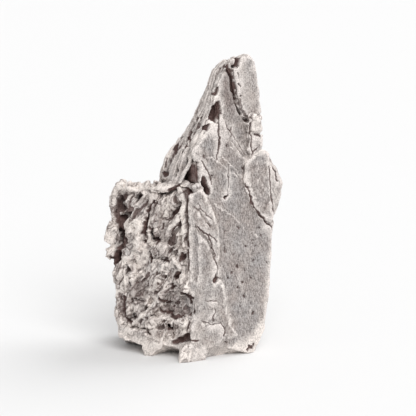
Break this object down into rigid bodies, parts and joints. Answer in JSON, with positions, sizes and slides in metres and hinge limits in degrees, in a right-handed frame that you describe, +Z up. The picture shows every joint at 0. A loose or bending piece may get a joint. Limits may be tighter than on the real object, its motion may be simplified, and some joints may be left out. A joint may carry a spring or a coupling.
{
  "type": "iron meteorite",
  "caption": "Cleaved piece of coarse octahedrite iron: a laminated spire with one smooth face, beside a rough block, standing on its flat base.",
  "frame": {"origin": "middle of the footprint, on the surface that the stone rests on", "axes": "+Z up along the spire, -Y towards the front, where the smooth face and the rough face meet, +X to the right"},
  "size_m": [0.0534, 0.033, 0.0887],
  "materials": {
    "iron_nickel": "weathered grey iron-nickel, satin on the cleaved face, rusty brown in the recesses"
  },
  "bodies": {
    "root": {"meteorite": "iron_nickel"}
  },
  "joints": []
}
